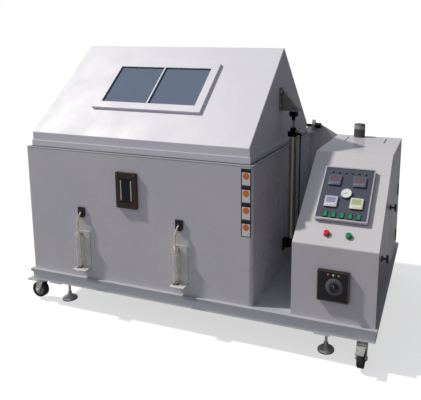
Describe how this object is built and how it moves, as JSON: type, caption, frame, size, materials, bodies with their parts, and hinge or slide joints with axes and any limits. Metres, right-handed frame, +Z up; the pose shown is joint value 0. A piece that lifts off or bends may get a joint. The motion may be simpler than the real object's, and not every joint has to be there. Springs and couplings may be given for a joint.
{
  "type": "environmental test chamber",
  "caption": "Salt mist test chamber with a peaked, air-lifted lid, a glazed tank cabinet and a sloping control console on one wheeled base.",
  "frame": {"origin": "middle of the outer box, on the floor that the casters and feet stand on", "axes": "+X to the viewer's right along the length, the front faces -Y, +Z up"},
  "size_m": [1.831, 1.097, 1.3182],
  "materials": {
    "pvc_sheet": "semi-matt moulded sheet",
    "tank_pvc": "welded grey sheet",
    "painted_steel": "powder coat",
    "zinc_steel": "bright zinc plate",
    "stainless_steel": "ground",
    "chrome_steel": "polished",
    "caster_rubber": "moulded",
    "black_plastic": "moulded",
    "clear_acrylic": "clear",
    "window_glass": "tinted",
    "bronze_acrylic": "polished",
    "spout_plastic": "moulded",
    "panel_slate": "printed film",
    "meter_plastic": "moulded",
    "lamp_red": "moulded",
    "button_red": "moulded",
    "button_green": "moulded",
    "rocker_green": "moulded",
    "hose_navy": "extruded",
    "cylinder_aluminium": "anodised",
    "black_steel": "black oxide",
    "cap_grey": "moulded",
    "component_plastic": "moulded"
  },
  "bodies": {
    "root": {"base_deck": "painted_steel", "base_frame": "painted_steel", "caster_plates": "zinc_steel", "cabinet_shell": "pvc_sheet", "inner_tank": "tank_pvc", "spray_tower": "clear_acrylic", "heater_element": "stainless_steel", "specimen_rack": "tank_pvc", "fog_funnels": "clear_acrylic", "drip_ports": "black_plastic", "drip_spouts": "spout_plastic", "cylinder_shelves": "clear_acrylic", "measuring_cylinders": "clear_acrylic", "level_gauge_frame": "bronze_acrylic", "level_gauge_glass": "clear_acrylic", "hinge_bearings": "stainless_steel", "rear_panel": "pvc_sheet", "cylinder_mount": "black_steel", "console_shell": "pvc_sheet", "saturator_tank": "stainless_steel", "control_plate": "component_plastic", "instrument_panel": "panel_slate", "panel_meters": "meter_plastic", "indicator_lamps": "lamp_red", "dial_unit": "black_plastic"},
    "lid": {"lid_shell": "pvc_sheet", "window_frame": "pvc_sheet", "window_panes": "window_glass", "hinge_lugs": "stainless_steel", "hinge_shaft": "black_steel", "lid_bracket": "stainless_steel"},
    "air_cylinder": {"air_cylinder": "cylinder_aluminium", "air_hose": "hose_navy"},
    "piston": {"piston_rod": "chrome_steel"},
    "console_door": {"console_door": "pvc_sheet"},
    "latch_lower": {"latch_lower": "black_plastic"},
    "latch_upper": {"latch_upper": "black_plastic"},
    "filler_cap": {"filler_cap": "cap_grey"},
    "dial_knob": {"dial_knob": "black_plastic"},
    "caster_fork_front_left": {"caster_fork_front_left": "zinc_steel"},
    "caster_wheel_front_left": {"caster_wheel_front_left": "caster_rubber"},
    "brake_pedal_front_left": {"brake_pedal_front_left": "black_steel"},
    "caster_fork_front_right": {"caster_fork_front_right": "zinc_steel"},
    "caster_wheel_front_right": {"caster_wheel_front_right": "caster_rubber"},
    "brake_pedal_front_right": {"brake_pedal_front_right": "black_steel"},
    "caster_fork_rear_left": {"caster_fork_rear_left": "zinc_steel"},
    "caster_wheel_rear_left": {"caster_wheel_rear_left": "caster_rubber"},
    "caster_fork_rear_right": {"caster_fork_rear_right": "zinc_steel"},
    "caster_wheel_rear_right": {"caster_wheel_rear_right": "caster_rubber"},
    "levelling_foot_front_left": {"levelling_foot_front_left": "zinc_steel"},
    "levelling_foot_front_right": {"levelling_foot_front_right": "zinc_steel"},
    "levelling_foot_rear_left": {"levelling_foot_rear_left": "zinc_steel"},
    "levelling_foot_rear_right": {"levelling_foot_rear_right": "zinc_steel"},
    "rocker_switch_1": {"rocker_switch_1": "rocker_green"},
    "rocker_switch_2": {"rocker_switch_2": "rocker_green"},
    "rocker_switch_3": {"rocker_switch_3": "rocker_green"},
    "rocker_switch_4": {"rocker_switch_4": "rocker_green"},
    "rocker_switch_5": {"rocker_switch_5": "rocker_green"},
    "push_button_red": {"push_button_red": "button_red"},
    "push_button_green": {"push_button_green": "button_green"}
  },
  "joints": [
    {"name": "caster_swivel_front_left", "type": "hinge", "parent": "root", "child": "caster_fork_front_left", "pos_m": [-0.8115, -0.4445, 0.117], "axis": [0, 0, 1], "continuous": true},
    {"name": "caster_roll_front_left", "type": "hinge", "parent": "caster_fork_front_left", "child": "caster_wheel_front_left", "pos_m": [-0.8495, -0.4445, 0.057], "axis": [0, -1, 0], "continuous": true},
    {"name": "brake_press_front_left", "type": "hinge", "parent": "caster_fork_front_left", "child": "brake_pedal_front_left", "pos_m": [-0.8435, -0.4445, 0.1065], "axis": [0, -1, 0], "range_deg": [0, 18], "stiffness_Nm_per_rad": 2},
    {"name": "caster_swivel_front_right", "type": "hinge", "parent": "root", "child": "caster_fork_front_right", "pos_m": [0.8365, -0.4445, 0.117], "axis": [0, 0, 1], "continuous": true},
    {"name": "caster_roll_front_right", "type": "hinge", "parent": "caster_fork_front_right", "child": "caster_wheel_front_right", "pos_m": [0.8365, -0.4825, 0.057], "axis": [1, 0, 0], "continuous": true},
    {"name": "brake_press_front_right", "type": "hinge", "parent": "caster_fork_front_right", "child": "brake_pedal_front_right", "pos_m": [0.8365, -0.4765, 0.1065], "axis": [1, 0, 0], "range_deg": [0, 18], "stiffness_Nm_per_rad": 2},
    {"name": "caster_swivel_rear_left", "type": "hinge", "parent": "root", "child": "caster_fork_rear_left", "pos_m": [-0.8115, 0.4675, 0.117], "axis": [0, 0, 1], "continuous": true},
    {"name": "caster_roll_rear_left", "type": "hinge", "parent": "caster_fork_rear_left", "child": "caster_wheel_rear_left", "pos_m": [-0.7735, 0.4675, 0.057], "axis": [0, 1, 0], "continuous": true},
    {"name": "caster_swivel_rear_right", "type": "hinge", "parent": "root", "child": "caster_fork_rear_right", "pos_m": [0.8365, 0.4675, 0.117], "axis": [0, 0, 1], "continuous": true},
    {"name": "caster_roll_rear_right", "type": "hinge", "parent": "caster_fork_rear_right", "child": "caster_wheel_rear_right", "pos_m": [0.7985, 0.4675, 0.057], "axis": [0, -1, 0], "continuous": true},
    {"name": "foot_screw_front_left", "type": "slide", "parent": "root", "child": "levelling_foot_front_left", "axis": [0, 0, -1], "range_m": [-0.02, 0.03]},
    {"name": "foot_screw_front_right", "type": "slide", "parent": "root", "child": "levelling_foot_front_right", "axis": [0, 0, -1], "range_m": [-0.02, 0.03]},
    {"name": "foot_screw_rear_left", "type": "slide", "parent": "root", "child": "levelling_foot_rear_left", "axis": [0, 0, -1], "range_m": [-0.02, 0.03]},
    {"name": "foot_screw_rear_right", "type": "slide", "parent": "root", "child": "levelling_foot_rear_right", "axis": [0, 0, -1], "range_m": [-0.02, 0.03]},
    {"name": "lid_hinge", "type": "hinge", "parent": "root", "child": "lid", "pos_m": [0, 0.4975, 0.87], "axis": [-1, 0, 0], "range_deg": [0, 50]},
    {"name": "cylinder_tilt", "type": "hinge", "parent": "root", "child": "air_cylinder", "pos_m": [0.3935, -0.0325, 0.318], "axis": [-1, 0, 0], "range_deg": [0, 15.46]},
    {"name": "rod_slide", "type": "slide", "parent": "air_cylinder", "child": "piston", "axis": [0, 0, 1], "range_m": [0, 0.39945]},
    {"name": "console_door_hinge", "type": "hinge", "parent": "root", "child": "console_door", "pos_m": [0.8875, 0.361, 0.427], "axis": [0, 0, 1], "range_deg": [0, 110]},
    {"name": "latch_turn_lower", "type": "hinge", "parent": "console_door", "child": "latch_lower", "pos_m": [0.8875, -0.3635, 0.45], "axis": [1, 0, 0], "range_deg": [0, 90]},
    {"name": "latch_turn_upper", "type": "hinge", "parent": "console_door", "child": "latch_upper", "pos_m": [0.8875, -0.0705, 0.586], "axis": [1, 0, 0], "range_deg": [0, 90]},
    {"name": "filler_cap_turn", "type": "hinge", "parent": "root", "child": "filler_cap", "pos_m": [0.6565, 0.4035, 0.833], "axis": [0, 0, 1], "range_deg": [0, 270]},
    {"name": "rocker_tip_1", "type": "hinge", "parent": "root", "child": "rocker_switch_1", "pos_m": [0.6435, -0.37884, 0.61842], "axis": [1, 0, 0], "range_deg": [0, 12]},
    {"name": "rocker_tip_2", "type": "hinge", "parent": "root", "child": "rocker_switch_2", "pos_m": [0.679, -0.37884, 0.61842], "axis": [1, 0, 0], "range_deg": [0, 12]},
    {"name": "rocker_tip_3", "type": "hinge", "parent": "root", "child": "rocker_switch_3", "pos_m": [0.7145, -0.37884, 0.61842], "axis": [1, 0, 0], "range_deg": [0, 12]},
    {"name": "rocker_tip_4", "type": "hinge", "parent": "root", "child": "rocker_switch_4", "pos_m": [0.75, -0.37884, 0.61842], "axis": [1, 0, 0], "range_deg": [0, 12]},
    {"name": "rocker_tip_5", "type": "hinge", "parent": "root", "child": "rocker_switch_5", "pos_m": [0.7855, -0.37884, 0.61842], "axis": [1, 0, 0], "range_deg": [0, 12]},
    {"name": "button_press_red", "type": "slide", "parent": "root", "child": "push_button_red", "axis": [0, 0.6187, -0.7856], "range_m": [0, 0.004], "stiffness_N_per_m": 400},
    {"name": "button_press_green", "type": "slide", "parent": "root", "child": "push_button_green", "axis": [0, 0.6187, -0.7856], "range_m": [0, 0.004], "stiffness_N_per_m": 400},
    {"name": "dial_turn", "type": "hinge", "parent": "root", "child": "dial_knob", "pos_m": [0.7155, -0.4945, 0.353], "axis": [0, -1, 0], "range_deg": [-150, 150]}
  ],
  "couplings": [
    {"joint": "cylinder_tilt", "follows": "lid_hinge", "ratio": 0.30885},
    {"joint": "rod_slide", "follows": "lid_hinge", "m_per_rad": 0.4575}
  ]
}
